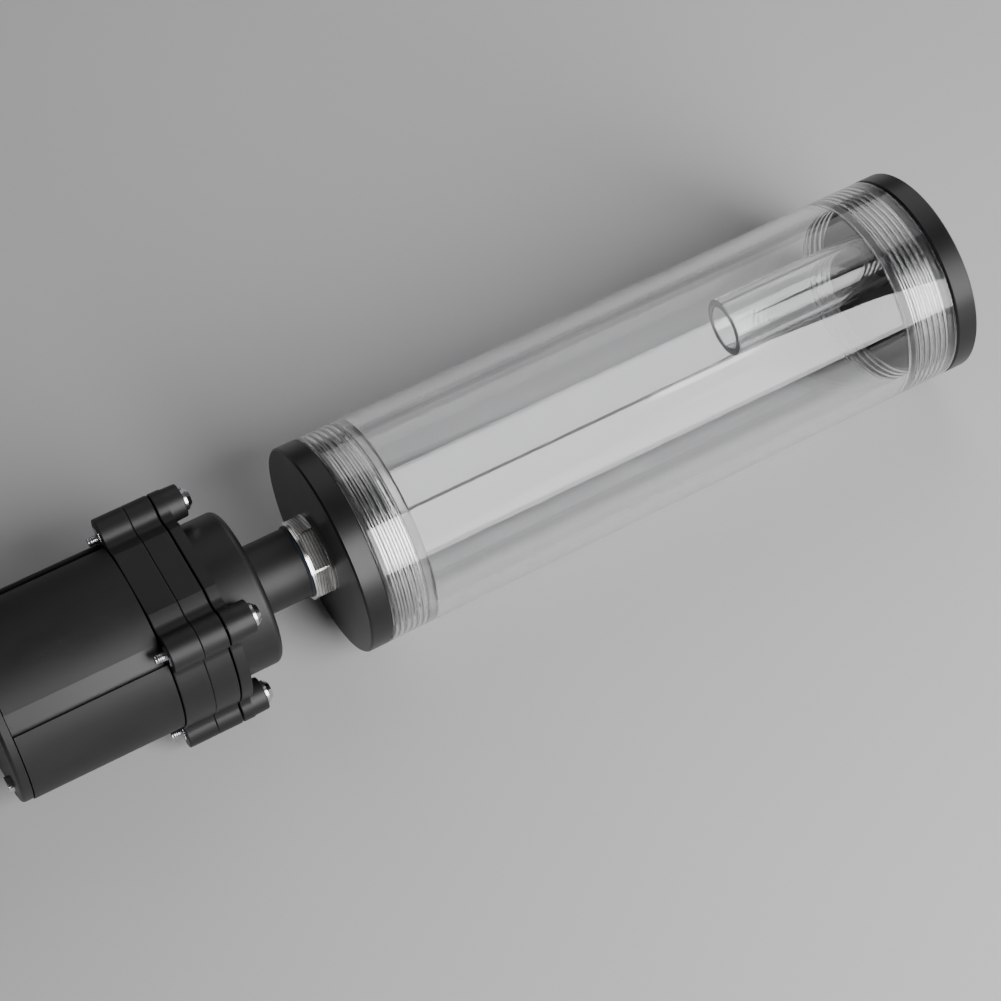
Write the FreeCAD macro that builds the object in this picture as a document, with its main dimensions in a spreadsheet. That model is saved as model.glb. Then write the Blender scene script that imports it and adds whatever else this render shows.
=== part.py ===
# Coolant pump reservoir: a clear tube reservoir with black screw-in end caps, a hex nipple, and a
# brushless pump whose impeller and ring magnet turn inside a sealed can. Millimetres, +Z up.
# The whole unit lies on its two round caps. Stations along the common axis are worked out from
# the outer face of the pump-end cap, which is x = 0 until each piece gets its Placement.
import FreeCAD, Part
import math
import os
import Sketcher

doc = FreeCAD.newDocument("coolant_pump_reservoir")
sheet = doc.addObject("Spreadsheet::Sheet", "Sizes")

DRIVING_SIZES = [
    ("tube_outer_dia", "60", "clear tube and caps"),
    ("tube_wall", "4", "wall of the clear tube"),
    ("tube_length", "179", "clear tube, end to end"),
    ("thread_wall", "3", "wall left outside the internal thread"),
    ("cap_flange_length", "6.6", "rim of a cap that shows"),
    ("cap_plug_length", "9.7", "threaded plug of a cap inside the tube"),
    ("cap_nose_chamfer", "2.5", "lead-in chamfer on a cap's plug"),
    ("pump_end_socket", "13.4", "bored-out end of the tube at the pump"),
    ("far_end_socket", "14.9", "bored-out far end of the tube"),
    ("cap_edge_chamfer", "0.5", "outer edge of a cap"),
    ("cap_shadow_gap", "0.3", "gap between a cap and the tube end"),
    ("cap_seal_section", "1.9", "O-ring under a cap"),
    ("port_thread_dia", "13.16", "G1/4 thread, major diameter"),
    ("port_drill_dia", "11.8", "G1/4 tapping drill"),
    ("port_depth", "11", "threaded length of a port"),
    ("port_inset", "10.5", "far cap ports in from the bore of the tube"),
    ("riser_outer_dia", "16", "inner clear tube"),
    ("riser_inner_dia", "12", "bore of the inner clear tube"),
    ("riser_reach", "50.5", "riser that stands in the coolant"),
    ("riser_seat_depth", "4.3", "riser held in the far cap"),
    ("thread_play", "0.08", "male thread inside its port"),
    ("stud_length", "8", "threaded stud of the nipple"),
    ("nipple_bore", "8.4", "way through the nipple"),
    ("nipple_flange_dia", "22.6", "thin flange each side of the hexagon"),
    ("nipple_flange", "1", "thickness of a nipple flange"),
    ("hex_across", "19.5", "nipple hexagon across flats"),
    ("hex_length", "4.5", "nipple hexagon"),
    ("neck_seal_inset", "0.1", "pump-side O-ring in from the neck's edge"),
    ("neck_seal_section", "1.2", "pump-side O-ring"),
    ("neck_seal_gap", "0.7", "O-ring that shows between neck and nipple"),
    ("port_seal_dia", "16.6", "cap-side O-ring, mean diameter"),
    ("port_seal_section", "1.3", "cap-side O-ring"),
    ("neck_dia", "19.8", "inlet neck of the pump cover"),
    ("neck_length", "14.3", "inlet neck"),
    ("dome_inset", "5", "dome in from the round of the plate"),
    ("dome_length", "12", "dome in front of the cover plate"),
    ("dome_edge_round", "2", "front edge of the dome"),
    ("riser_edge_chamfer", "0.3", "free end of the riser"),
    ("cover_front_wall", "3", "front wall of the impeller chamber"),
    ("cover_plate", "3.2", "cover plate thickness"),
    ("dome_wall", "3.2", "round wall of the impeller chamber"),
    ("inlet_bore", "11.8", "inlet into the chamber"),
    ("seal_gap", "0.4", "dark gap between cover and can plate"),
    ("can_plate", "7.1", "plate of the isolation can"),
    ("motor_plate", "8.4", "front plate of the motor"),
    ("housing_gap", "0.4", "groove between motor plate and housing"),
    ("flange_overhang", "0.5", "plates out from the motor housing"),
    ("flange_flat_depth", "2", "flat cut from the top of the plates"),
    ("ear_offset", "1.6", "screw circle out from the round of the plate"),
    ("ear_dia", "10", "ear round a clamp screw"),
    ("ear_fillet", "3", "hollow blend between ear and plate"),
    ("column_inset", "0.2", "screw column in from its ear"),
    ("column_length", "4.6", "screw column in front of the cover plate"),
    ("column_draft", "2", "draft of a column, degrees"),
    ("column_edge_round", "0.4", "front edge of a column"),
    ("plate_edge_round", "0.3", "edges where the plates meet"),
    ("screw_dia", "3", "M3 clamp screw"),
    ("screw_play", "0.1", "hole wider than its screw, radially"),
    ("screw_head_dia", "6.4", "pan head"),
    ("screw_head_height", "2.2", "pan head"),
    ("screw_head_rim", "0.9", "straight rim of the pan head"),
    ("screw_head_crown", "40", "slope of the pan head, degrees"),
    ("screw_tip", "3", "screw beyond its nut"),
    ("recess_width", "0.9", "cross recess arm"),
    ("recess_span", "3.4", "cross recess, tip to tip"),
    ("recess_depth", "1.2", "cross recess"),
    ("nut_across", "5.5", "M3 nut across flats"),
    ("nut_height", "2.4", "M3 nut"),
    ("nut_proud", "0.3", "nut that stands out of its pocket"),
    ("nut_play", "0.1", "nut pocket wider than the nut"),
    ("outlet_boss_dia", "16", "outlet boss under the dome"),
    ("outlet_boss_length", "6.5", "outlet face beyond the round of the dome"),
    ("outlet_depth", "7.5", "threaded length of the outlet"),
    ("outlet_way", "8", "way from the chamber to the outlet"),
    ("outlet_back", "7.1", "outlet axis behind the dome face"),
    ("outlet_side", "4", "outlet axis beside the pump axis"),
    ("pump_seal_offset", "3.4", "O-ring out from the chamber wall"),
    ("pump_seal_section", "2", "O-ring between cover and can plate"),
    ("can_bore", "19.6", "room for the ring magnet"),
    ("can_wall", "0.9", "thin wall of the can"),
    ("can_end_wall", "2.1", "closed end of the can"),
    ("can_boss", "1.4", "boss inside the can end that holds the shaft"),
    ("shaft_dia", "4", "fixed ceramic shaft"),
    ("shaft_play", "0.03", "radial running clearance on the shaft"),
    ("shaft_seat", "1.1", "shaft pressed into the can end"),
    ("bush_dia", "6.4", "carbon bush"),
    ("bush_length", "6", "carbon bush"),
    ("washer_thickness", "0.8", "thrust washer"),
    ("end_play", "0.3", "axial play at each end of the rotor"),
    ("stem_dia", "10.8", "hollow stem behind the impeller"),
    ("rotor_gap", "0.6", "ring magnet in from the can"),
    ("magnet_length", "26", "ring magnet"),
    ("rotor_length", "53.4", "rotor between its thrust faces"),
    ("impeller_gap", "2", "impeller in from the chamber wall"),
    ("impeller_plate", "1.6", "back plate of the impeller"),
    ("impeller_lift", "1", "back plate clear of the can plate"),
    ("hub_dia", "9", "impeller hub"),
    ("vane_height", "8", "impeller vane"),
    ("vane_thickness", "1.4", "impeller vane"),
    ("vane_curve", "11", "radius of a vane's sweep"),
    ("spider_ring", "1", "ring of the front shaft support"),
    ("spider_hub_dia", "6", "hub of the front shaft support"),
    ("spider_arm", "1.2", "arm of the front shaft support"),
    ("spider_cap", "0.5", "closed front of the shaft support"),
    ("housing_wall", "3", "wall of the motor housing"),
    ("housing_bore", "47", "inside of the motor housing"),
    ("channel_width", "6.2", "nut channel along the housing"),
    ("channel_depth", "1.6", "nut channel into the housing"),
    ("spigot_wall", "1.4", "wall of the motor plate's spigot"),
    ("plate_web", "3", "web of the motor plate"),
    ("spigot_length", "2", "spigot of the motor plate"),
    ("fit_play", "0.1", "radial play of spigots and inserts"),
    ("stator_gap", "0.3", "can to stator bore"),
    ("stator_play", "0.2", "stator in from the housing bore"),
    ("stator_length", "22", "laminated stator"),
    ("stator_setback", "3", "stator behind the housing mouth"),
    ("yoke_width", "3.3", "ring of the stator"),
    ("tooth_width", "4.5", "stator tooth"),
    ("shoe_height", "1.9", "pole shoe"),
    ("shoe_width", "8.6", "pole shoe"),
    ("coil_thickness", "2.1", "winding beside a tooth"),
    ("coil_clear", "0.6", "winding inside the stator ring"),
    ("board_thickness", "1.6", "control board"),
    ("board_clear", "4.4", "room between the can and the board"),
    ("board_setback", "5.9", "board in front of the housing's rear edge"),
    ("boss_dia", "7.4", "boss for a rear screw"),
    ("boss_inset", "3.2", "rear screws in from the housing bore"),
    ("rear_screw_dia", "2.5", "rear cover screw"),
    ("rear_head_dia", "4.6", "rear cover screw head"),
    ("rear_head_height", "1.6", "rear cover screw head"),
    ("rear_screw_length", "7.5", "rear cover screw under its head"),
    ("rear_cover_inset", "0.3", "rear cover in from the housing"),
    ("rear_cover_plate", "3", "rear cover"),
    ("rear_cover_spigot", "0.9", "rear cover inside the housing"),
    ("rear_edge_round", "1", "outer edge of the rear cover"),
    ("rear_gap", "0.3", "groove between housing and rear cover"),
    ("gland_drop", "12", "cable gland below the axis"),
    ("gland_neck_dia", "7.8", "cable gland in its hole"),
    ("gland_rim_dia", "11", "cable gland rims"),
    ("gland_rim", "2.2", "outer rim of the cable gland"),
    ("gland_inner_rim", "1.5", "inner rim of the cable gland"),
    ("gland_bore", "4.8", "bore for the cable"),
    ("plug_head_rim", "0.6", "head outside the O-ring groove"),
    ("plug_head", "3", "fill plug head"),
    ("plug_thread_length", "6", "fill plug thread"),
    ("plug_key_across", "6", "hexagon socket of the fill plug"),
    ("plug_key_depth", "3.6", "hexagon socket of the fill plug"),
    ("plug_seal_offset", "0.17", "fill plug O-ring out from the thread"),
    ("plug_seal_section", "1.4", "fill plug O-ring"),
    ("plug_seal_inset", "1.2", "O-ring groove under the plug head"),
    ("slip", "0.05", "face clearance of the fill plug's O-ring"),
]
EAR_COUNT = 4
VANE_COUNT = 6
TOOTH_COUNT = 6
REAR_SCREW_COUNT = 3
EAR_ANGLE = 45
SPIDER_ARM_COUNT = 3
NIPPLE_TURN = 53.5
DIAGONAL = math.sqrt(0.5)
TAN_30 = math.tan(math.radians(30))


class Size:
    """A length that carries its number and the sheet formula that it comes from."""

    def __init__(self, number, formula):
        self.number = number
        self.formula = formula

    @staticmethod
    def of(value):
        return value if isinstance(value, Size) else Size(float(value), f"({value})")

    def join(self, other, sign, number):
        return Size(number, f"({self.formula} {sign} {Size.of(other).formula})")

    def __add__(self, other):
        return self.join(other, "+", self.number + Size.of(other).number)

    def __sub__(self, other):
        return self.join(other, "-", self.number - Size.of(other).number)

    def __mul__(self, other):
        return self.join(other, "*", self.number * Size.of(other).number)

    def __truediv__(self, other):
        return self.join(other, "/", self.number / Size.of(other).number)

    def __neg__(self):
        return Size(-self.number, f"(-{self.formula})")


size = {}
for row, (alias, number, meaning) in enumerate(DRIVING_SIZES, start=1):
    sheet.set(f"A{row}", meaning)
    sheet.set(f"B{row}", number)
    sheet.setAlias(f"B{row}", alias)
    size[alias] = Size(float(number), f"Sizes.{alias}")
doc.recompute()
ZERO = Size(0.0, "0")


def bind(thing, path, value):
    thing.setExpression(path, Size.of(value).formula)


def origin_plane(body, role):
    return [(plane, "") for plane in body.Origin.OriginFeatures if plane.Role == role]


def new_sketch(body, role, station=ZERO, turn=0):
    """An empty sketch on an origin plane, moved along that plane's normal and turned about it."""
    sketch = body.newObject("Sketcher::SketchObject", "Outline")
    sketch.AttachmentSupport = origin_plane(body, role)
    sketch.MapMode = "FlatFace"
    turned_up = FreeCAD.Rotation(FreeCAD.Vector(0, 0, 1), turn)
    sketch.AttachmentOffset = FreeCAD.Placement(FreeCAD.Vector(0, 0, station.number), turned_up)
    bind(sketch, "AttachmentOffset.Base.z", station)
    return sketch


def hold(sketch, kind, references, value):
    """One driving constraint, bound to its formula."""
    index = sketch.addConstraint(Sketcher.Constraint(kind, *references, value.number))
    bind(sketch, f"Constraints[{index}]", value)


def pin_point(sketch, element, point, across, up):
    """Hold a point of the sketch at its two distances from the sketch's origin."""
    hold(sketch, "DistanceX", (-1, 1, element, point), Size.of(across))
    hold(sketch, "DistanceY", (-1, 1, element, point), Size.of(up))


def draw_corners(sketch, corners):
    """A closed outline of straight lines through the corners."""
    corners = [(Size.of(across), Size.of(up)) for across, up in corners]
    points = [FreeCAD.Vector(across.number, up.number, 0) for across, up in corners]
    lines = [
        sketch.addGeometry(Part.LineSegment(start, end), False)
        for start, end in zip(points, points[1:] + points[:1])
    ]
    for line, following in zip(lines, lines[1:] + lines[:1]):
        sketch.addConstraint(Sketcher.Constraint("Coincident", line, 2, following, 1))
    for line, (across, up) in zip(lines, corners):
        pin_point(sketch, line, 1, across, up)


def draw_circle(sketch, across, up, radius):
    across, up, radius = Size.of(across), Size.of(up), Size.of(radius)
    centre = FreeCAD.Vector(across.number, up.number, 0)
    circle = sketch.addGeometry(Part.Circle(centre, FreeCAD.Vector(0, 0, 1), radius.number), False)
    hold(sketch, "Radius", (circle,), radius)
    pin_point(sketch, circle, 3, across, up)


def draw_hexagon(sketch, across, up, across_flats):
    """A regular hexagon with one flat on each side, square to the sketch's up direction."""
    flat = across_flats / 2
    corner = flat * TAN_30
    draw_corners(sketch, [
        (corner + across, flat + up),
        (-corner + across, flat + up),
        (-(corner * 2) + across, up),
        (-corner + across, -flat + up),
        (corner + across, -flat + up),
        (corner * 2 + across, up),
    ])


def new_body(label):
    body = doc.addObject("PartDesign::Body", label)
    body.Label = label
    return body


def grown(body, kind, sketch):
    """A feature of a body made from one sketch."""
    feature = body.newObject(f"PartDesign::{kind}", kind)
    feature.Profile = sketch
    return feature


def turned(label, corners):
    """A body turned about the x axis. Each corner is (station along x, radius)."""
    body = new_body(label)
    turn_on(body, corners)
    return body


def turn_on(body, corners, kind="Revolution"):
    """Turn an outline about the x axis: a Revolution adds it, a Groove cuts it."""
    sketch = new_sketch(body, "XY_Plane")
    draw_corners(sketch, corners)
    feature = grown(body, kind, sketch)
    feature.ReferenceAxis = (sketch, ["H_Axis"])
    feature.Angle = 360
    return feature


def ring(label, start, end, inner, outer):
    """A plain turned ring between two stations and two radii."""
    return turned(label, [(start, inner), (start, outer), (end, outer), (end, inner)])


def pad(body, sketch, length, reverse=False):
    """Grow a sketch along its plane's normal, +x for the YZ plane."""
    feature = grown(body, "Pad", sketch)
    bind(feature, "Length", length)
    feature.Reversed = reverse
    return feature


def pocket(body, sketch, length):
    """Cut along the sketch plane's normal, +x for the YZ plane, and make sure that it cuts."""
    doc.recompute()
    before = body.Shape.Volume
    feature = grown(body, "Pocket", sketch)
    bind(feature, "Length", length)
    feature.Reversed = True
    doc.recompute()
    if feature.Shape.Volume >= before:
        raise ValueError(f"a pocket of {body.Label} cuts nothing")
    return feature


def bore(body, station, length, radius, across=ZERO, up=ZERO):
    """A round hole along +x that starts at a station."""
    sketch = new_sketch(body, "YZ_Plane", station)
    draw_circle(sketch, across, up, radius)
    return pocket(body, sketch, length)


def repeat(body, features, count):
    """Copies of features, evenly spaced about the x axis."""
    pattern = body.newObject("PartDesign::PolarPattern", "Repeat")
    pattern.Originals = features
    pattern.Axis = [(axis, "") for axis in body.Origin.OriginFeatures if axis.Role == "X_Axis"][0]
    pattern.Angle = 360
    pattern.Occurrences = count
    body.Tip = pattern
    return pattern


def soften(body, kind, amount, wanted):
    """Fillet or chamfer the edges of the body's last feature that the test picks."""
    doc.recompute()
    tip = body.Tip
    names = [f"Edge{number}" for number, edge in enumerate(tip.Shape.Edges, start=1) if wanted(edge)]
    if not names:
        raise ValueError(f"no edge of {body.Label} to soften")
    feature = body.newObject(f"PartDesign::{kind}", kind)
    feature.Base = (tip, names)
    bind(feature, "Radius" if kind == "Fillet" else "Size", amount)
    return feature


def near(first, second):
    return abs(first - second) < 0.001


def rim_at(station, radius):
    """A test for the round edges about the x axis at a station and a radius."""
    def wanted(edge):
        curve = edge.Curve
        return (
            isinstance(curve, Part.Circle)
            and near(curve.Radius, radius.number)
            and near(curve.Center.x, station.number)
            and near(math.hypot(curve.Center.y, curve.Center.z), 0)
        )
    return wanted


def ear_sketch(body, station):
    """A sketch whose first direction points at the ear between +y and +z."""
    return new_sketch(body, "YZ_Plane", station, EAR_ANGLE)


# Stations of the pump, from the cap's outer face towards the motor.

half = {alias: value / 2 for alias, value in size.items()}
tube_inner_radius = half["tube_outer_dia"] - size["tube_wall"]
port_offset = tube_inner_radius - size["port_inset"]
stud_radius = half["port_thread_dia"] - size["thread_play"]
screw_hole_radius = half["screw_dia"] + size["screw_play"]
neck_seal_radius = half["neck_dia"] - size["neck_seal_inset"]
plug_seal_radius = half["port_thread_dia"] + size["plug_seal_offset"] + half["plug_seal_section"]
housing_inner = half["housing_bore"]
housing_radius = housing_inner + size["housing_wall"]
flange_radius = housing_radius + size["flange_overhang"]
ear_radius = flange_radius + size["ear_offset"]
dome_radius = flange_radius - size["dome_inset"]
chamber_radius = dome_radius - size["dome_wall"]
pump_seal_radius = chamber_radius + size["pump_seal_offset"]
spigot_radius = housing_inner - size["fit_play"]
can_radius = half["can_bore"] + size["can_wall"]
tube_start = size["cap_flange_length"] + size["cap_shadow_gap"]
tube_end = tube_start + size["tube_length"]
far_cap_inner = tube_end + size["cap_shadow_gap"]
far_cap_outer = far_cap_inner + size["cap_flange_length"]
nipple_back = -(size["nipple_flange"] * 2 + size["hex_length"])
neck_face = nipple_back - size["neck_seal_gap"]
dome_face = neck_face - size["neck_length"]
cover_front = dome_face - size["dome_length"]
cover_back = cover_front - size["cover_plate"]
can_front = cover_back - size["seal_gap"]
can_back = can_front - size["can_plate"]
motor_plate_back = can_back - size["motor_plate"]
housing_front = motor_plate_back - size["housing_gap"]
chamber_front = dome_face - size["cover_front_wall"]
rotor_front = chamber_front - size["washer_thickness"] - size["end_play"]
rotor_back = rotor_front - size["rotor_length"]
can_seat = rotor_back - size["end_play"] - size["washer_thickness"]
cup_end = can_seat - size["can_boss"]
can_end = cup_end - size["can_end_wall"]
board_back = can_end - size["board_clear"] - size["board_thickness"]
housing_back = board_back - size["board_setback"]
rear_cover_front = housing_back - size["rear_gap"]
rear_cover_back = rear_cover_front - size["rear_cover_plate"]
gland_back = rear_cover_back - size["gland_rim"]
column_front = cover_front + size["column_length"]

# The origin is under the middle of the whole length, on the surface that the caps lie on.

plug_face = far_cap_outer + size["slip"] * 2 + size["plug_seal_section"] - size["plug_seal_inset"]
plug_front = plug_face + size["plug_head"]
middle = (gland_back + plug_front) / 2
axis_height = half["tube_outer_dia"]


def seat(piece, up=ZERO, turn=0):
    """Move a finished piece from the working axis to its place in the part's frame."""
    piece.Placement = FreeCAD.Placement(
        FreeCAD.Vector(0, 0, 0), FreeCAD.Rotation(FreeCAD.Vector(1, 0, 0), turn)
    )
    bind(piece, "Placement.Base.x", -middle)
    bind(piece, "Placement.Base.z", axis_height + up)
    pieces.append(piece)


pieces = []


def o_ring(label, station, mean_radius, section, up=ZERO):
    """A torus about the x direction, centred on a station."""
    torus = doc.addObject("Part::Torus", label)
    torus.Label = label
    bind(torus, "Radius1", mean_radius)
    bind(torus, "Radius2", section / 2)
    torus.Placement = FreeCAD.Placement(
        FreeCAD.Vector(0, 0, 0), FreeCAD.Rotation(FreeCAD.Vector(0, 1, 0), 90)
    )
    bind(torus, "Placement.Base.x", station - middle)
    bind(torus, "Placement.Base.z", axis_height + up)
    pieces.append(torus)


def make_reservoir_tube():
    """The clear tube, bored out at both ends for the caps' threads."""
    outer = half["tube_outer_dia"]
    inner = tube_inner_radius
    thread = outer - size["thread_wall"]
    first_step = tube_start + size["pump_end_socket"]
    last_step = tube_end - size["far_end_socket"]
    seat(turned("reservoir_tube", [
        (tube_start, thread),
        (tube_start, outer),
        (tube_end, outer),
        (tube_end, thread),
        (last_step, thread),
        (last_step, inner),
        (first_step, inner),
        (first_step, thread),
    ]))


def cap_profile(flange_face, away):
    """Half section of a cap. Away is +1 where the plug points along +x, and -1 the other way."""
    flange = half["tube_outer_dia"]
    plug = flange - size["thread_wall"] - size["fit_play"]
    groove = plug - size["cap_seal_section"]
    shoulder = flange_face + size["cap_flange_length"] * away
    groove_end = shoulder + (size["cap_seal_section"] + size["cap_shadow_gap"]) * away
    plug_end = shoulder + size["cap_plug_length"] * away
    nose = size["cap_nose_chamfer"]
    return [
        (flange_face, 0),
        (flange_face, flange),
        (shoulder, flange),
        (shoulder, groove),
        (groove_end, groove),
        (groove_end, plug),
        (plug_end - nose * away, plug),
        (plug_end, plug - nose),
        (plug_end, 0),
    ]


def make_pump_end_cap():
    """The cap on the pump's side, with one threaded port in its middle."""
    cap = turned("pump_end_cap", cap_profile(ZERO, 1))
    outer = half["tube_outer_dia"]
    rims = [rim_at(ZERO, outer), rim_at(size["cap_flange_length"], outer)]
    soften(cap, "Chamfer", size["cap_edge_chamfer"], lambda edge: any(rim(edge) for rim in rims))
    bore(cap, ZERO, size["cap_flange_length"] + size["cap_plug_length"], half["port_drill_dia"])
    bore(cap, ZERO, size["port_depth"], half["port_thread_dia"])
    seat(cap)


def make_far_end_cap():
    """The far cap: the riser's port above the axis and the fill port below it."""
    cap = turned("far_end_cap", cap_profile(far_cap_outer, -1))
    outer = half["tube_outer_dia"]
    rims = [rim_at(far_cap_outer, outer), rim_at(far_cap_inner, outer)]
    soften(cap, "Chamfer", size["cap_edge_chamfer"], lambda edge: any(rim(edge) for rim in rims))
    whole = size["cap_flange_length"] + size["cap_plug_length"]
    inner_face = far_cap_outer - whole
    for up in (port_offset, -port_offset):
        bore(cap, inner_face, whole, half["port_drill_dia"], up=up)
        bore(cap, far_cap_outer - size["port_depth"], size["port_depth"], half["port_thread_dia"], up=up)
    seat_radius = half["riser_outer_dia"] + size["slip"]
    bore(cap, inner_face, size["riser_seat_depth"], seat_radius, up=port_offset)
    seat(cap)


def make_cap_seals():
    """An O-ring in the corner between each cap's rim and the mouth of the tube."""
    section = size["cap_seal_section"]
    mean_radius = half["tube_outer_dia"] - size["thread_wall"] - size["fit_play"] - section / 2
    o_ring("pump_end_oring", size["cap_flange_length"] + section / 2, mean_radius, section)
    o_ring("far_end_oring", far_cap_inner - section / 2, mean_radius, section)


def make_riser_tube():
    """The short clear tube that brings returning coolant into the reservoir."""
    inner_face = far_cap_outer - size["cap_flange_length"] - size["cap_plug_length"]
    held_end = inner_face + size["riser_seat_depth"]
    free_end = held_end - size["riser_seat_depth"] - size["riser_reach"]
    riser = ring("riser_tube", free_end, held_end, half["riser_inner_dia"], half["riser_outer_dia"])
    rims = [rim_at(free_end, half["riser_inner_dia"]), rim_at(free_end, half["riser_outer_dia"])]
    soften(riser, "Chamfer", size["riser_edge_chamfer"], lambda edge: any(rim(edge) for rim in rims))
    seat(riser, up=port_offset)


def make_fill_plug():
    """The screw plug of the fill port: head, thread, O-ring groove and hexagon socket."""
    stud = stud_radius
    seal_outer = plug_seal_radius + half["plug_seal_section"] + size["slip"]
    head = seal_outer + size["plug_head_rim"]
    groove_floor = plug_face + size["plug_seal_inset"]
    plug = turned("fill_plug", [
        (plug_face - size["plug_thread_length"], 0),
        (plug_face - size["plug_thread_length"], stud),
        (groove_floor, stud),
        (groove_floor, seal_outer),
        (plug_face, seal_outer),
        (plug_face, head),
        (plug_front, head),
        (plug_front, 0),
    ])
    soften(plug, "Chamfer", size["cap_edge_chamfer"], rim_at(plug_front, head))
    socket = new_sketch(plug, "YZ_Plane", plug_front - size["plug_key_depth"])
    draw_hexagon(socket, ZERO, ZERO, size["plug_key_across"])
    pocket(plug, socket, size["plug_key_depth"])
    seat(plug, up=-port_offset)
    section = size["plug_seal_section"]
    ring_station = far_cap_outer + size["slip"] + section / 2
    o_ring("fill_plug_oring", ring_station, plug_seal_radius, section, -port_offset)


def make_adapter_nipple():
    """The plated hexagon nipple that joins pump and reservoir, bored right through."""
    stud = stud_radius
    flange = half["nipple_flange_dia"]
    bore_radius = half["nipple_bore"]
    core = half["port_seal_dia"]
    hex_start = nipple_back + size["nipple_flange"]
    hex_end = -size["nipple_flange"]
    neck_groove = size["neck_seal_section"] - size["neck_seal_gap"]
    neck_seal_in = neck_seal_radius - half["neck_seal_section"]
    neck_seal_out = neck_seal_radius + half["neck_seal_section"]
    port_seal_in = half["port_seal_dia"] - half["port_seal_section"]
    port_seal_out = half["port_seal_dia"] + half["port_seal_section"]
    nipple = turned("adapter_nipple", [
        (nipple_back - size["stud_length"], bore_radius),
        (nipple_back - size["stud_length"], stud),
        (nipple_back, stud),
        (nipple_back, neck_seal_in),
        (nipple_back + neck_groove, neck_seal_in),
        (nipple_back + neck_groove, neck_seal_out),
        (nipple_back, neck_seal_out),
        (nipple_back, flange),
        (hex_start, flange),
        (hex_start, core),
        (hex_end, core),
        (hex_end, flange),
        (ZERO, flange),
        (ZERO, stud),
        (size["stud_length"], stud),
        (size["stud_length"], bore_radius),
    ])
    hexagon = new_sketch(nipple, "YZ_Plane", hex_start)
    draw_hexagon(hexagon, ZERO, ZERO, size["hex_across"])
    draw_circle(hexagon, ZERO, ZERO, stud)
    pad(nipple, hexagon, size["hex_length"])
    doc.recompute()
    turn_on(nipple, [
        (-size["port_seal_section"], port_seal_in),
        (-size["port_seal_section"], port_seal_out),
        (ZERO, port_seal_out),
        (ZERO, port_seal_in),
    ], "Groove")
    seat(nipple, turn=NIPPLE_TURN)
    section = size["neck_seal_section"]
    o_ring("adapter_oring_pump", neck_face + section / 2, neck_seal_radius, section)
    section = size["port_seal_section"]
    o_ring("adapter_oring_cap", -(section / 2), half["port_seal_dia"], section)


def plate_on(body, start, thickness, rounded):
    """A round plate with a flat on top and four ears that blend into it, and a small round on
    the outline of each end face that is named."""
    core = new_sketch(body, "YZ_Plane", start)
    radius = flange_radius
    height = flange_radius - size["flange_flat_depth"]
    reach = math.sqrt(radius.number ** 2 - height.number ** 2)
    right = math.atan2(height.number, reach)
    centre = FreeCAD.Vector(0, 0, 0)
    circle = Part.Circle(centre, FreeCAD.Vector(0, 0, 1), radius.number)
    arc = core.addGeometry(Part.ArcOfCircle(circle, math.pi - right, 2 * math.pi + right), False)
    right_end = FreeCAD.Vector(reach, height.number, 0)
    left_end = FreeCAD.Vector(-reach, height.number, 0)
    flat = core.addGeometry(Part.LineSegment(right_end, left_end), False)
    core.addConstraint(Sketcher.Constraint("Coincident", arc, 3, -1, 1))
    core.addConstraint(Sketcher.Constraint("Coincident", arc, 2, flat, 1))
    core.addConstraint(Sketcher.Constraint("Coincident", arc, 1, flat, 2))
    core.addConstraint(Sketcher.Constraint("Horizontal", flat))
    hold(core, "Radius", (arc,), radius)
    hold(core, "DistanceY", (-1, 1, flat, 1), height)
    pad(body, core, thickness)
    ear = ear_sketch(body, start)
    draw_circle(ear, ear_radius, ZERO, half["ear_dia"])
    repeat(body, [pad(body, ear, thickness)], EAR_COUNT)
    blend_ears(body, start, thickness)
    inside = dome_radius + size["plate_edge_round"]

    def outline(edge):
        reach = min(math.hypot(corner.Y, corner.Z) for corner in edge.Vertexes)
        station = edge.CenterOfMass.x
        at_end = any(near(station, end.number) for end in rounded)
        return at_end and near(edge.BoundBox.XLength, 0) and reach > inside.number

    soften(body, "Fillet", size["plate_edge_round"], outline)


def blend_ears(body, start, thickness):
    """Fillet the inside corners where the ears meet the round of the plate."""
    middle_station = start.number + thickness.number / 2
    ear_centre = ear_radius.number * DIAGONAL

    def corner(edge):
        if not isinstance(edge.Curve, Part.Line) or not near(edge.Length, thickness.number):
            return False
        point = edge.CenterOfMass
        on_plate = near(math.hypot(point.y, point.z), flange_radius.number)
        from_ear = math.hypot(abs(point.y) - ear_centre, abs(point.z) - ear_centre)
        return on_plate and near(from_ear, half["ear_dia"].number) and near(point.x, middle_station)

    soften(body, "Fillet", size["ear_fillet"], corner)


def ear_holes(body, start, length):
    """The four holes for the clamp screws."""
    doc.recompute()
    hole = ear_sketch(body, start)
    draw_circle(hole, ear_radius, ZERO, screw_hole_radius)
    repeat(body, [pocket(body, hole, length)], EAR_COUNT)


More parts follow.
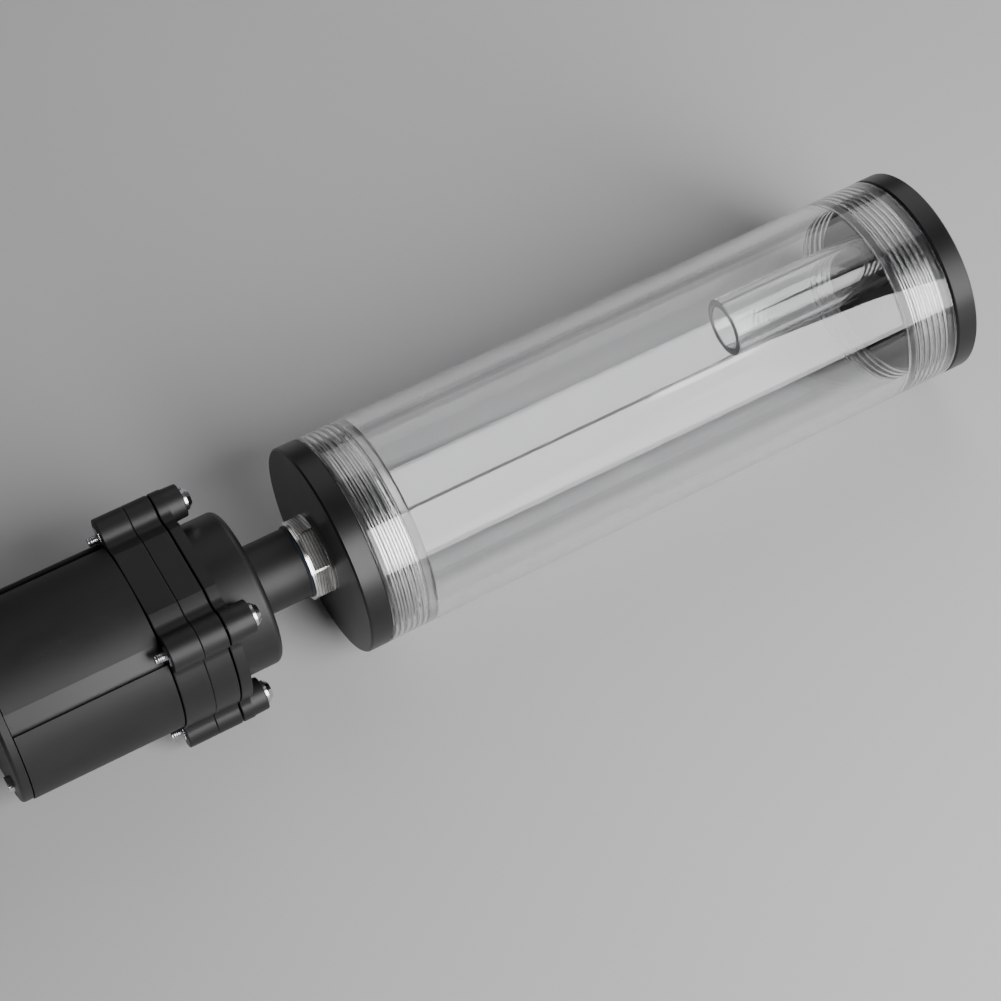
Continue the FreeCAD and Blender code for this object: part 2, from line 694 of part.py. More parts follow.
def make_pump_cover():
    """Inlet neck, dome, cover plate, screw columns and the outlet boss, moulded in one."""
    dome = dome_radius
    neck = half["neck_dia"]
    cover = turned("pump_cover", [
        (cover_back, 0),
        (cover_back, dome),
        (dome_face, dome),
        (dome_face, neck),
        (neck_face, neck),
        (neck_face, 0),
    ])
    soften(cover, "Fillet", size["dome_edge_round"], rim_at(dome_face, dome))
    plate_on(cover, cover_back, size["cover_plate"], [cover_back])
    column = ear_sketch(cover, cover_front)
    draw_circle(column, ear_radius, ZERO, half["ear_dia"] - size["column_inset"])
    tapered = pad(cover, column, size["column_length"])
    bind(tapered, "TaperAngle", -size["column_draft"])
    repeat(cover, [tapered], EAR_COUNT)

    def column_edge(edge):
        return isinstance(edge.Curve, Part.Circle) and near(edge.Curve.Center.x, column_front.number)

    soften(cover, "Fillet", size["column_edge_round"], column_edge)
    outlet_station = dome_face - size["outlet_back"]
    outlet_reach = dome_radius + size["outlet_boss_length"]
    boss = new_sketch(cover, "XY_Plane", -outlet_reach)
    draw_circle(boss, outlet_station, size["outlet_side"], half["outlet_boss_dia"])
    pad(cover, boss, outlet_reach - dome_radius * DIAGONAL)
    doc.recompute()
    turn_on(cover, [
        (cover_back, 0),
        (cover_back, chamber_radius),
        (chamber_front, chamber_radius),
        (chamber_front, half["inlet_bore"]),
        (neck_face - size["port_depth"], half["inlet_bore"]),
        (neck_face - size["port_depth"], 0),
    ], "Groove")
    bore(cover, neck_face - size["port_depth"], size["port_depth"], half["port_thread_dia"])
    way = new_sketch(cover, "XY_Plane", -outlet_reach)
    draw_circle(way, outlet_station, size["outlet_side"], half["outlet_way"])
    pocket(cover, way, outlet_reach - chamber_radius * DIAGONAL)
    port = new_sketch(cover, "XY_Plane", -outlet_reach)
    draw_circle(port, outlet_station, size["outlet_side"], half["port_thread_dia"])
    pocket(cover, port, size["outlet_depth"])
    ear_holes(cover, cover_back, column_front - cover_back)
    seat(cover)
    section = size["pump_seal_section"]
    o_ring("pump_oring", cover_back - section / 2, pump_seal_radius, section)


def make_isolation_can():
    """The plate behind the cover with the thin cup that keeps coolant off the motor."""
    can = new_body("isolation_can")
    plate_on(can, can_back, size["can_plate"], [can_back, can_front])
    bore_radius = half["can_bore"]
    turn_on(can, [
        (can_end, 0),
        (can_end, can_radius),
        (can_back, can_radius),
        (can_back, 0),
    ])
    doc.recompute()
    turn_on(can, [
        (cup_end, half["hub_dia"]),
        (cup_end, bore_radius),
        (can_front, bore_radius),
        (can_front, 0),
        (can_seat, 0),
        (can_seat, half["hub_dia"]),
    ], "Groove")
    seal_in = pump_seal_radius - half["pump_seal_section"]
    seal_out = pump_seal_radius + half["pump_seal_section"]
    groove_floor = cover_back - size["pump_seal_section"]
    doc.recompute()
    turn_on(can, [
        (groove_floor, seal_in),
        (groove_floor, seal_out),
        (can_front, seal_out),
        (can_front, seal_in),
    ], "Groove")
    bore(can, can_seat - size["shaft_seat"], size["shaft_seat"], half["shaft_dia"])
    ear_holes(can, can_back, size["can_plate"])
    seat(can)


def make_shaft_and_supports():
    """The fixed shaft, the spider that holds its front end, and the two thrust washers."""
    shaft_radius = half["shaft_dia"]
    shaft_front = dome_face - size["spider_cap"]
    shaft_back = can_seat - size["shaft_seat"]
    shaft = turned("shaft", [
        (shaft_back, 0), (shaft_back, shaft_radius), (shaft_front, shaft_radius), (shaft_front, 0),
    ])
    seat(shaft)
    ring_outer = half["inlet_bore"]
    spider = ring("shaft_support", chamber_front, dome_face, ring_outer - size["spider_ring"], ring_outer)
    arm = new_sketch(spider, "YZ_Plane", chamber_front)
    width = half["spider_arm"]
    draw_corners(arm, [
        (-width, ZERO),
        (width, ZERO),
        (width, ring_outer - half["spider_ring"]),
        (-width, ring_outer - half["spider_ring"]),
    ])
    repeat(spider, [pad(spider, arm, size["cover_front_wall"])], SPIDER_ARM_COUNT)
    hub = new_sketch(spider, "YZ_Plane", chamber_front)
    draw_circle(hub, ZERO, ZERO, half["spider_hub_dia"])
    pad(spider, hub, size["cover_front_wall"])
    bore(spider, chamber_front, size["cover_front_wall"] - size["spider_cap"], shaft_radius)
    seat(spider)
    washer_in = shaft_radius + size["shaft_play"]
    washer_out = half["spider_hub_dia"]
    thickness = size["washer_thickness"]
    seat(ring("front_thrust_washer", chamber_front - thickness, chamber_front, washer_in, washer_out))
    seat(ring("rear_thrust_washer", can_seat, can_seat + thickness, washer_in, washer_out))


def make_impeller():
    """Back plate, hub and stem in one turned piece, with curved vanes fused on."""
    plate_back = can_front + size["impeller_lift"]
    plate_front = plate_back + size["impeller_plate"]
    rim = chamber_radius - size["impeller_gap"]
    inner = half["bush_dia"]
    stem = half["stem_dia"]
    magnet_front = rotor_back + size["magnet_length"]
    core = turned("impeller_core", [
        (rotor_back, inner),
        (rotor_back, stem),
        (plate_back, stem),
        (plate_back, rim),
        (plate_front, rim),
        (plate_front, half["hub_dia"]),
        (rotor_front, half["hub_dia"]),
        (rotor_front, inner),
    ])
    parts = [core]
    curve = size["vane_curve"]
    for number in range(VANE_COUNT):
        angle = 360 * number / VANE_COUNT
        wall = tube_piece(f"vane_wall_{number}", plate_front, size["vane_height"],
                          curve - half["vane_thickness"], curve + half["vane_thickness"], curve, angle)
        reach = tube_piece(f"vane_reach_{number}", plate_front, size["vane_height"],
                           half["hub_dia"] - size["slip"], rim, ZERO, 0)
        side = doc.addObject("Part::Box", f"vane_side_{number}")
        bind(side, "Length", size["vane_height"])
        bind(side, "Width", rim)
        bind(side, "Height", rim)
        side.Placement = FreeCAD.Placement(
            FreeCAD.Vector(0, 0, 0), FreeCAD.Rotation(FreeCAD.Vector(1, 0, 0), angle)
        )
        bind(side, "Placement.Base.x", plate_front)
        vane = doc.addObject("Part::MultiCommon", f"vane_{number}")
        vane.Shapes = [wall, reach, side]
        parts.append(vane)
    impeller = doc.addObject("Part::MultiFuse", "impeller")
    impeller.Label = "impeller"
    impeller.Shapes = parts
    impeller.Refine = True
    seat(impeller)
    seat(ring("rotor_magnet", rotor_back, magnet_front, stem, half["can_bore"] - size["rotor_gap"]))
    bush_in = half["shaft_dia"] + size["shaft_play"]
    seat(ring("front_bush", rotor_front - size["bush_length"], rotor_front, bush_in, inner))
    seat(ring("rear_bush", rotor_back, rotor_back + size["bush_length"], bush_in, inner))


def tube_piece(name, start, length, inner, outer, offset, angle):
    """A primitive tube along +x whose axis lies at an offset from the pump's axis."""
    cylinders = []
    for suffix, radius in (("outer", outer), ("inner", inner)):
        cylinder = doc.addObject("Part::Cylinder", f"{name}_{suffix}")
        bind(cylinder, "Radius", radius)
        bind(cylinder, "Height", length)
        cylinder.Placement = FreeCAD.Placement(
            FreeCAD.Vector(0, 0, 0), FreeCAD.Rotation(FreeCAD.Vector(0, 1, 0), 90)
        )
        turn = math.radians(angle)
        bind(cylinder, "Placement.Base.x", start)
        bind(cylinder, "Placement.Base.y", offset * math.cos(turn))
        bind(cylinder, "Placement.Base.z", offset * math.sin(turn))
        cylinders.append(cylinder)
    piece = doc.addObject("Part::Cut", name)
    piece.Base, piece.Tool = cylinders
    return piece


def make_motor_plate():
    """The motor's front plate: eared outline, hollow back, spigot and pockets for the nuts."""
    plate = new_body("motor_plate")
    plate_on(plate, motor_plate_back, size["motor_plate"], [motor_plate_back, can_back])
    hollow = spigot_radius - size["spigot_wall"]
    spigot_end = housing_front - size["spigot_length"]
    turn_on(plate, [
        (spigot_end, hollow),
        (spigot_end, spigot_radius),
        (can_back - half["motor_plate"], spigot_radius),
        (can_back - half["motor_plate"], hollow),
    ])
    doc.recompute()
    way = can_radius + size["fit_play"]
    turn_on(plate, [
        (motor_plate_back, 0),
        (motor_plate_back, hollow),
        (can_back - size["plate_web"], hollow),
        (can_back - size["plate_web"], way),
        (can_back, way),
        (can_back, 0),
    ], "Groove")
    ear_holes(plate, motor_plate_back, size["motor_plate"])
    doc.recompute()
    socket = ear_sketch(plate, motor_plate_back)
    draw_hexagon(socket, ear_radius, ZERO, size["nut_across"] + size["nut_play"])
    repeat(plate, [pocket(plate, socket, size["nut_height"] - size["nut_proud"])], EAR_COUNT)
    seat(plate)


def make_clamp_fasteners():
    """Four pan-head cross-recess screws from the front, and their nuts at the back."""
    screws = new_body("clamp_screws")
    tip = motor_plate_back - size["nut_proud"] - size["screw_tip"]
    shank = new_sketch(screws, "YZ_Plane", tip)
    draw_circle(shank, ear_radius, ZERO, half["screw_dia"])
    shank_pad = pad(screws, shank, column_front - tip)
    head = new_sketch(screws, "YZ_Plane", column_front)
    draw_circle(head, ear_radius, ZERO, half["screw_head_dia"])
    rim_height = size["screw_head_rim"]
    head_pad = pad(screws, head, rim_height)
    crown = new_sketch(screws, "YZ_Plane", column_front + rim_height)
    draw_circle(crown, ear_radius, ZERO, half["screw_head_dia"])
    crown_pad = pad(screws, crown, size["screw_head_height"] - rim_height)
    bind(crown_pad, "TaperAngle", -size["screw_head_crown"])
    head_top = column_front + size["screw_head_height"]
    slots = []
    for long_way, short_way in ((size["recess_span"], size["recess_width"]),
                                (size["recess_width"], size["recess_span"])):
        slot = new_sketch(screws, "YZ_Plane", head_top - size["recess_depth"])
        draw_corners(slot, [
            (ear_radius - long_way / 2, -(short_way / 2)),
            (ear_radius + long_way / 2, -(short_way / 2)),
            (ear_radius + long_way / 2, short_way / 2),
            (ear_radius - long_way / 2, short_way / 2),
        ])
        slots.append(pocket(screws, slot, size["recess_depth"]))
    repeat(screws, [shank_pad, head_pad, crown_pad] + slots, EAR_COUNT)
    seat(screws, turn=EAR_ANGLE)
    nuts = new_body("clamp_nuts")
    nut = new_sketch(nuts, "YZ_Plane", motor_plate_back - size["nut_proud"])
    draw_hexagon(nut, ear_radius, ZERO, size["nut_across"])
    draw_circle(nut, ear_radius, ZERO, half["screw_dia"])
    repeat(nuts, [pad(nuts, nut, size["nut_height"])], EAR_COUNT)
    seat(nuts, turn=EAR_ANGLE)


def rear_screw_point(number):
    """Place of a rear screw, the first one straight above the axis."""
    angle = math.radians(90 + 360 * number / REAR_SCREW_COUNT)
    reach = housing_inner - size["boss_inset"]
    return reach * math.cos(angle), reach * math.sin(angle)


def make_motor_housing():
    """The round housing with four flat channels for the nuts and bosses for the rear screws."""
    housing = ring("motor_housing", housing_back, housing_front, housing_inner, housing_radius)
    channel = ear_sketch(housing, housing_back)
    side = half["channel_width"]
    floor = housing_radius - size["channel_depth"]
    outside = housing_radius + size["fit_play"]
    draw_corners(channel, [(floor, -side), (outside, -side), (outside, side), (floor, side)])
    repeat(housing, [pocket(housing, channel, housing_front - housing_back)], EAR_COUNT)
    boss_start = housing_back + size["rear_cover_spigot"]
    for number in range(REAR_SCREW_COUNT):
        across, up = rear_screw_point(number)
        doc.recompute()
        boss = new_sketch(housing, "YZ_Plane", boss_start)
        draw_circle(boss, across, up, half["boss_dia"])
        pad(housing, boss, board_back - boss_start)
        doc.recompute()
        bore(housing, boss_start, board_back - boss_start, half["rear_screw_dia"], across, up)
    seat(housing)


def make_stator():
    """Laminated ring with inward teeth and pole shoes, and one winding on each tooth."""
    front = housing_front - size["stator_setback"]
    back = front - size["stator_length"]
    outer = housing_inner - size["stator_play"]
    bore_radius = can_radius + size["stator_gap"]
    yoke_inner = outer - size["yoke_width"]
    core = ring("stator_core", back, front, yoke_inner, outer)
    tooth = new_sketch(core, "YZ_Plane", back)
    width = half["tooth_width"]
    draw_corners(tooth, [
        (-width, bore_radius + half["shoe_height"]),
        (width, bore_radius + half["shoe_height"]),
        (width, yoke_inner + half["yoke_width"]),
        (-width, yoke_inner + half["yoke_width"]),
    ])
    tooth_pad = pad(core, tooth, size["stator_length"])
    shoe = new_sketch(core, "YZ_Plane", back)
    shoe_half = half["shoe_width"]
    shoe_top = bore_radius + size["shoe_height"]
    shoe_foot = bore_radius - size["shoe_height"]
    draw_corners(shoe, [
        (-shoe_half, shoe_foot), (shoe_half, shoe_foot), (shoe_half, shoe_top), (-shoe_half, shoe_top),
    ])
    shoe_pad = pad(core, shoe, size["stator_length"])
    repeat(core, [tooth_pad, shoe_pad], TOOTH_COUNT)
    bore(core, back, size["stator_length"], bore_radius)
    seat(core)
    coils = new_body("stator_coils")
    thickness = size["coil_thickness"]
    side = width + size["fit_play"]
    low = shoe_top + size["fit_play"]
    high = yoke_inner - size["coil_clear"]
    winding = new_sketch(coils, "XY_Plane", low)
    draw_corners(winding, [
        (back - thickness, -side - thickness),
        (front + thickness, -side - thickness),
        (front + thickness, side + thickness),
        (back - thickness, side + thickness),
    ])
    opening_ends = size["fit_play"]
    draw_corners(winding, [
        (back - opening_ends, -side),
        (front + opening_ends, -side),
        (front + opening_ends, side),
        (back - opening_ends, side),
    ])
    wound = pad(coils, winding, high - low)
    repeat(coils, [wound], TOOTH_COUNT)
    seat(coils)


def make_control_board():
    """The drive board on the housing's bosses, and the parts soldered to its rear face."""
    back = board_back
    front = back + size["board_thickness"]
    board = turned("control_board", [
        (back, 0), (back, spigot_radius), (front, spigot_radius), (front, 0),
    ])
    seat(board)
    parts = new_body("board_components")
    for across, up, wide, high, tall in BOARD_CHIPS:
        chip = new_sketch(parts, "YZ_Plane", back - tall)
        draw_corners(chip, [
            (across, up), (across + wide, up), (across + wide, up + high), (across, up + high),
        ])
        pad(parts, chip, Size.of(tall))
    for across, up, radius, tall in BOARD_CAPACITORS:
        can = new_sketch(parts, "YZ_Plane", back - tall)
        draw_circle(can, across, up, radius)
        pad(parts, can, Size.of(tall))
    seat(parts)


BOARD_CHIPS = [(-14, 2, 6, 5, 1.2), (-3, -3, 5, 6, 1.0), (6, 4, 8, 3, 1.0)]
BOARD_CAPACITORS = [(10, -4, 2.5, 3.6), (-10, -5, 2.5, 3.6)]


def make_rear_cover():
    """The rear cover with its shallow spigot, its three screws and the rubber cable gland."""
    spigot_front = rear_cover_front + size["rear_gap"] + size["rear_cover_spigot"]
    outer = housing_radius - size["rear_cover_inset"]
    cover = turned("rear_cover", [
        (rear_cover_back, 0),
        (rear_cover_back, outer),
        (rear_cover_front, outer),
        (rear_cover_front, spigot_radius),
        (spigot_front, spigot_radius),
        (spigot_front, 0),
    ])
    soften(cover, "Fillet", size["rear_edge_round"], rim_at(rear_cover_back, outer))
    whole = spigot_front - rear_cover_back
    drop = -size["gland_drop"]
    bore(cover, rear_cover_back, whole, half["gland_neck_dia"] + size["fit_play"], up=drop)
    screws = new_body("rear_cover_screws")
    for number in range(REAR_SCREW_COUNT):
        across, up = rear_screw_point(number)
        bore(cover, rear_cover_back, whole, half["rear_screw_dia"] + size["fit_play"], across, up)
        head = new_sketch(screws, "YZ_Plane", rear_cover_back - size["rear_head_height"])
        draw_circle(head, across, up, half["rear_head_dia"])
        pad(screws, head, size["rear_head_height"])
        shank = new_sketch(screws, "YZ_Plane", rear_cover_back)
        draw_circle(shank, across, up, half["rear_screw_dia"])
        pad(screws, shank, size["rear_screw_length"])
    seat(cover)
    seat(screws)
    rim = half["gland_rim_dia"]
    neck = half["gland_neck_dia"]
    opening = half["gland_bore"]
    gland = turned("cable_gland", [
        (gland_back, opening),
        (gland_back, rim),
        (rear_cover_back, rim),
        (rear_cover_back, neck),
        (spigot_front, neck),
        (spigot_front, rim - size["fit_play"]),
        (spigot_front + size["gland_inner_rim"], rim - size["fit_play"]),
        (spigot_front + size["gland_inner_rim"], opening),
    ])
    seat(gland, up=drop)


make_reservoir_tube()
make_pump_end_cap()
make_far_end_cap()
make_cap_seals()
make_riser_tube()
make_fill_plug()
make_adapter_nipple()
make_pump_cover()
make_isolation_can()
make_shaft_and_supports()
make_impeller()
make_motor_plate()
make_clamp_fasteners()
make_motor_housing()
make_stator()
make_control_board()
make_rear_cover()
doc.recompute()

for item in doc.Objects:
    if "Invalid" in item.State or "Error" in item.State:
        raise ValueError(f"{item.Label} of {item.TypeId} is {item.State}")
for piece in pieces:
    if piece.Shape.isNull() or not piece.Shape.isValid():
        raise ValueError(f"{piece.Label} has no valid shape")

os.makedirs("parts", exist_ok=True)
for piece in pieces:
    piece.Shape.exportStep(f"parts/{piece.Label}.step")
    box = piece.Shape.BoundBox
    solids = len(piece.Shape.Solids)
    along = f"x {box.XMin:8.2f} {box.XMax:8.2f}"
    upward = f"z {box.ZMin:7.2f} {box.ZMax:7.2f}"
    print(f"{piece.Label:22s} solids {solids}  {along}  {upward}")
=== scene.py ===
import math

import bmesh
import bpy
import numpy as np
from mathutils import Matrix, Vector


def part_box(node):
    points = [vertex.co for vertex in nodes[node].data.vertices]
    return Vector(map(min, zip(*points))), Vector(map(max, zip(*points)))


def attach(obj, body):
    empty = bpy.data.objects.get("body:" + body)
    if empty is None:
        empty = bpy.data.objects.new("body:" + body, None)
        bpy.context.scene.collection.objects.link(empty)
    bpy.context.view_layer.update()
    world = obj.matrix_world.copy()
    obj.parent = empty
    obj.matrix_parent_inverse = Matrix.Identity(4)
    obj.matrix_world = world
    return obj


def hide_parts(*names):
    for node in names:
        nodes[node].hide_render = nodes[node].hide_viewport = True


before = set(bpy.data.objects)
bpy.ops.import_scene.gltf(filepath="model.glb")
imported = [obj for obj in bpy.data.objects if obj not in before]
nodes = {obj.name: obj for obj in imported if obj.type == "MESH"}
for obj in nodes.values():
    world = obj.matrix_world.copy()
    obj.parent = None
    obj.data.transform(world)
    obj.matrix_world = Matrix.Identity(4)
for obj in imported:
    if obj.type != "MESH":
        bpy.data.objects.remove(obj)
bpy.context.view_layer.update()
MM = 0.001

# The camera of the photograph. Its place and turn were solved from the round edges of the two
# caps and the straight sides of the tube; the lens gives the same perspective on a 36 mm sensor.

eye = bpy.data.cameras.new("camera")
eye.lens = 96.1
eye.sensor_width = 36.0
eye.clip_start = 0.05
eye.clip_end = 20.0
camera = bpy.data.objects.new("camera", eye)
camera_right = Vector((0.86995, -0.4932, 0.0))
camera_up = Vector((0.41358, 0.7296, 0.5447))
camera_back = Vector((-0.2686, -0.4738, 0.8387))
camera_turn = Matrix((camera_right, camera_up, camera_back)).transposed().to_4x4()
camera.matrix_world = Matrix.Translation((-0.19185, -0.3530, 0.6374)) @ camera_turn
bpy.context.scene.collection.objects.link(camera)
bpy.context.scene.camera = camera


# Shader maths as Python expressions, from here on for every material of the object: Socket wraps
# one output, and a sum, difference, product or quotient adds the Math node that works it out.


class Socket:
    """One output of a node, with arithmetic."""

    def __init__(self, shader, output):
        self.shader = shader
        self.output = output

    def math(self, operation, *others):
        return self.shader.node("ShaderNodeMath", {"operation": operation}, {
            place: value for place, value in enumerate((self, *others))
        })

    def __add__(self, other):
        return self.math("ADD", other)

    def __sub__(self, other):
        return self.math("SUBTRACT", other)

    def __mul__(self, other):
        return self.math("MULTIPLY", other)

    def __rsub__(self, other):
        return self.shader.node("ShaderNodeMath", {"operation": "SUBTRACT"}, {0: other, 1: self})

    def __truediv__(self, other):
        return self.math("DIVIDE", other)

    __radd__ = __add__
    __rmul__ = __mul__

    def clamped(self):
        """The value, held between 0 and 1."""
        return self.math("MAXIMUM", 0.0).math("MINIMUM", 1.0)

    def wave(self):
        return self.math("SINE")

    def size(self):
        return self.math("ABSOLUTE")

    def ramp(self, *stops):
        """A colour ramp; each stop is (place, grey or colour)."""
        return self.shader.node("ShaderNodeValToRGB", {"stops": stops}, {"Fac": self})


class Shader:
    """A node material round one Principled shader, built by naming nodes and their inputs."""

    def __init__(self, name, **fixed):
        self.material = bpy.data.materials.new(name)
        self.material.use_nodes = True
        self.tree = self.material.node_tree
        self.main = self.tree.nodes["Principled BSDF"]
        for socket_name, value in fixed.items():
            self.main.inputs[socket_name.replace("_", " ")].default_value = value

    def node(self, kind, settings, inputs, output=0):
        """Add a node: its settings first, then values or links on its sockets."""
        made = self.tree.nodes.new(kind)
        for setting, value in settings.items():
            if setting == "stops":
                self.set_stops(made.color_ramp, value)
            else:
                setattr(made, setting, value)
        for place, value in inputs.items():
            self.feed(made.inputs[place], value)
        return Socket(self, made.outputs[output])

    def set_stops(self, ramp, stops):
        while len(ramp.elements) < len(stops):
            ramp.elements.new(0.5)
        for element, (place, colour) in zip(ramp.elements, stops):
            element.position = place
            grey = isinstance(colour, (int, float))
            element.color = (colour, colour, colour, 1.0) if grey else (*colour, 1.0)

    def feed(self, socket, value):
        if isinstance(value, Socket):
            self.tree.links.new(value.output, socket)
        else:
            socket.default_value = value

    def drive(self, **varying):
        """Link what changes over the surface to the shader's own sockets."""
        for socket_name, value in varying.items():
            self.feed(self.main.inputs[socket_name.replace("_", " ")], value)

    def cover(self, factor, **fixed):
        """Mix a second plain shader over the first one by this factor."""
        top = self.tree.nodes.new("ShaderNodeBsdfPrincipled")
        for socket_name, value in fixed.items():
            top.inputs[socket_name.replace("_", " ")].default_value = value
        both = self.node("ShaderNodeMixShader", {}, {
            0: factor, 1: Socket(self, self.main.outputs[0]), 2: Socket(self, top.outputs[0]),
        })
        self.tree.links.new(both.output, self.tree.nodes["Material Output"].inputs["Surface"])

    def place(self, scale=(1.0, 1.0, 1.0), shift=(0.0, 0.0, 0.0)):
        """Object coordinates, scaled and shifted."""
        coordinates = self.node("ShaderNodeTexCoord", {}, {}, "Object")
        return self.node("ShaderNodeMapping", {}, {
            "Vector": coordinates, "Scale": scale, "Location": shift,
        })

    def noise(self, where, grain, detail=3.0, roughness=0.55):
        """Cloudy noise whose largest blotches are about one grain across."""
        return self.node("ShaderNodeTexNoise", {}, {
            "Vector": where, "Scale": 1.0 / grain, "Detail": detail, "Roughness": roughness,
        })

    def part(self, where, axis):
        """One coordinate: 0, 1 or 2 for x, y or z."""
        return self.node("ShaderNodeSeparateXYZ", {}, {0: where}, axis)

    def radius(self, height):
        """Distance from a line along x that runs at this height."""
        across = self.place(scale=(0.0, 1.0, 1.0), shift=(0.0, 0.0, -height))
        return self.node("ShaderNodeVectorMath", {"operation": "LENGTH"}, {0: across}, 1)

    def tool_marks(self, height, pitch):
        """Uneven lines that a turning tool leaves round an x axis at this height: noise that varies
        only with x plus the radius, so it shows on sides and on end faces."""
        along = (self.part(self.place(), 0) + self.radius(height)) / pitch
        return self.node("ShaderNodeTexNoise", {"noise_dimensions": "1D"}, {
            "W": along, "Scale": 1.0, "Detail": 2.0,
        })

    def bump(self, height, strength, distance):
        return self.node("ShaderNodeBump", {}, {
            "Height": height, "Strength": strength, "Distance": distance,
        })


def wear(material, *names):
    """Give CAD nodes a material in place of the plain one that they are packed with."""
    for name in names:
        mesh = nodes[name].data
        mesh.materials.clear()
        mesh.materials.append(material)


# Floor and lights, which aren't part of the object: a pale paper floor, one large leaning softbox
# in front, as long as the tube's bands need, and a big dim board that leans over from behind.


def flat_panel(name, corners):
    """One flat face through the corners."""
    mesh = bpy.data.meshes.new(name)
    mesh.from_pydata(corners, [], [tuple(range(len(corners)))])
    panel = bpy.data.objects.new(name, mesh)
    bpy.context.scene.collection.objects.link(panel)
    return panel


floor = flat_panel("floor", [(-6, -6, 0), (6, -6, 0), (6, 6, 0), (-6, 6, 0)])
paper = Shader("floor_paper", Roughness=0.75)
fibres = paper.noise(paper.place(), 0.9 * MM, detail=4.0)
clouds = paper.noise(paper.place(), 120 * MM, detail=2.0)
paper.drive(
    Base_Color=(fibres * 0.02 + clouds * 0.03 + 0.52).ramp((0.0, 0.0), (1.0, (1.0, 1.0, 1.01))),
    Normal=paper.bump(fibres, 0.15, 0.03 * MM),
)
floor.data.materials.append(paper.material)


def glowing(name, strength):
    """A plain white emitter, such as the cloth of a softbox."""
    shader = Shader(name, Base_Color=(0.0, 0.0, 0.0, 1.0), Emission_Strength=strength)
    shader.main.inputs["Emission Color"].default_value = (1.0, 1.0, 1.0, 1.0)
    return shader.material


def leaning_light(name, foot, head, outline, strength):
    """A flat emitter that leans from its foot to its head; each corner of the outline is a place
    along x and a share of the way up."""
    panel = flat_panel(name, [
        Vector((along, 0.0, 0.0)) + Vector(foot).lerp(Vector(head), share) for along, share in outline
    ])
    panel.data.materials.append(glowing(name + "_cloth", strength))


# The softbox has cut corners. The board's top edge slants, so it reaches further over the far end.
SOFTBOX_OUTLINE = (
    (-0.02, 0.0), (0.60, 0.0), (0.528, 0.58), (0.505, 0.82), (0.46, 1.0), (-0.02, 1.0),
)
BOARD_OUTLINE = (
    (0.15, 0.0), (0.85, 0.0), (0.95, 1.16), (0.88, 1.16), (0.45, 0.88), (0.21, 0.59), (0.15, 0.55),
)
SOFTBOX_STRENGTH = 11.0
BOARD_STRENGTH = 1.6
leaning_light("front_softbox", (0.0, -0.85, 0.14), (0.0, -0.50, 0.83), SOFTBOX_OUTLINE, SOFTBOX_STRENGTH)
leaning_light("back_board", (0.0, 1.0, 0.41), (0.0, 0.2, 1.5), BOARD_OUTLINE, BOARD_STRENGTH)
world = bpy.data.worlds.new("room")
world.use_nodes = True
world.node_tree.nodes["Background"].inputs["Color"].default_value = (1.0, 1.0, 1.0, 1.0)
world.node_tree.nodes["Background"].inputs["Strength"].default_value = 0.07
bpy.context.scene.world = world
bpy.context.scene.cycles.max_bounces = 24
bpy.context.scene.cycles.transmission_bounces = 20
bpy.context.scene.cycles.glossy_bounces = 12

# The clear reservoir tube, extruded acrylic polished outside and in. Each end is bored out and cut
# with a right-hand thread for its cap. The cut flanks turn light back and show as pale rings.

tube_low, tube_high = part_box("reservoir_tube")
tube_radius = (tube_high.z - tube_low.z) / 2
axis_height = (tube_high.z + tube_low.z) / 2
tube_bore = tube_radius - 4.0 * MM
tube_edge = 0.3 * MM
tube_columns = 256
thread_bore = tube_radius - 3.0 * MM
thread_depth = 1.0 * MM
thread_pitch = 1.77 * MM
thread_root = thread_bore + thread_depth
mouth = thread_bore + 0.3 * MM
pump_end_step = tube_low.x + 13.4 * MM
pump_end_relief = pump_end_step - 2.4 * MM
pump_end_mouth = tube_low.x + 1.2 * MM
far_end_step = tube_high.x - 14.9 * MM
far_end_relief = far_end_step + 1.9 * MM
far_end_mouth = tube_high.x - 2.4 * MM
far_end_anchor = tube_high.x - 0.5 * MM
crease_angle = math.radians(28)
# Corners of one thread turn, as (share of the pitch, share of the depth).
THREAD_CORNERS = ((0.0, 0.0), (0.30, 0.0), (0.62, 1.0), (0.68, 1.0))


def turned_skin(stations, radii, centre=(0.0, axis_height)):
    """Rings about a line along x, closed into one skin: row j and column i lie at the station x and
    at y = r cos t, z = r sin t from the centre, with t running once round."""
    rows, columns = stations.shape
    angles = np.linspace(0.0, 2 * math.pi, columns)
    points = np.stack([
        stations,
        centre[0] + radii * np.cos(angles),
        centre[1] + radii * np.sin(angles),
    ], axis=-1).reshape(-1, 3)
    row, column = np.meshgrid(np.arange(rows), np.arange(columns - 1), indexing="ij")
    following = (row + 1) % rows
    faces = np.stack([
        row * columns + column,
        row * columns + column + 1,
        following * columns + column + 1,
        following * columns + column,
    ], axis=-1).reshape(-1, 4)
    return points, faces


def weld(mesh, distance=2e-7):
    """Merge doubles, shade smooth and keep the creases sharp."""
    work = bmesh.new()
    work.from_mesh(mesh)
    bmesh.ops.remove_doubles(work, verts=work.verts, dist=distance)
    bmesh.ops.dissolve_degenerate(work, edges=work.edges, dist=distance)
    work.to_mesh(mesh)
    work.free()
    mesh.polygons.foreach_set("use_smooth", np.ones(len(mesh.polygons), bool))
    mesh.set_sharp_from_angle(angle=crease_angle)


def welded_object(name, points, faces):
    """A smooth-shaded object from points and faces."""
    mesh = bpy.data.meshes.new(name)
    mesh.from_pydata(points.tolist(), [], faces.tolist())
    weld(mesh)
    made = bpy.data.objects.new(name, mesh)
    bpy.context.scene.collection.objects.link(made)
    return made


def level_rows(pairs):
    """Rows that are the same all the way round, from (station, radius) pairs."""
    pairs = np.array(pairs)
    return [np.repeat(pairs[:, place, None], tube_columns + 1, axis=1) for place in (0, 1)]


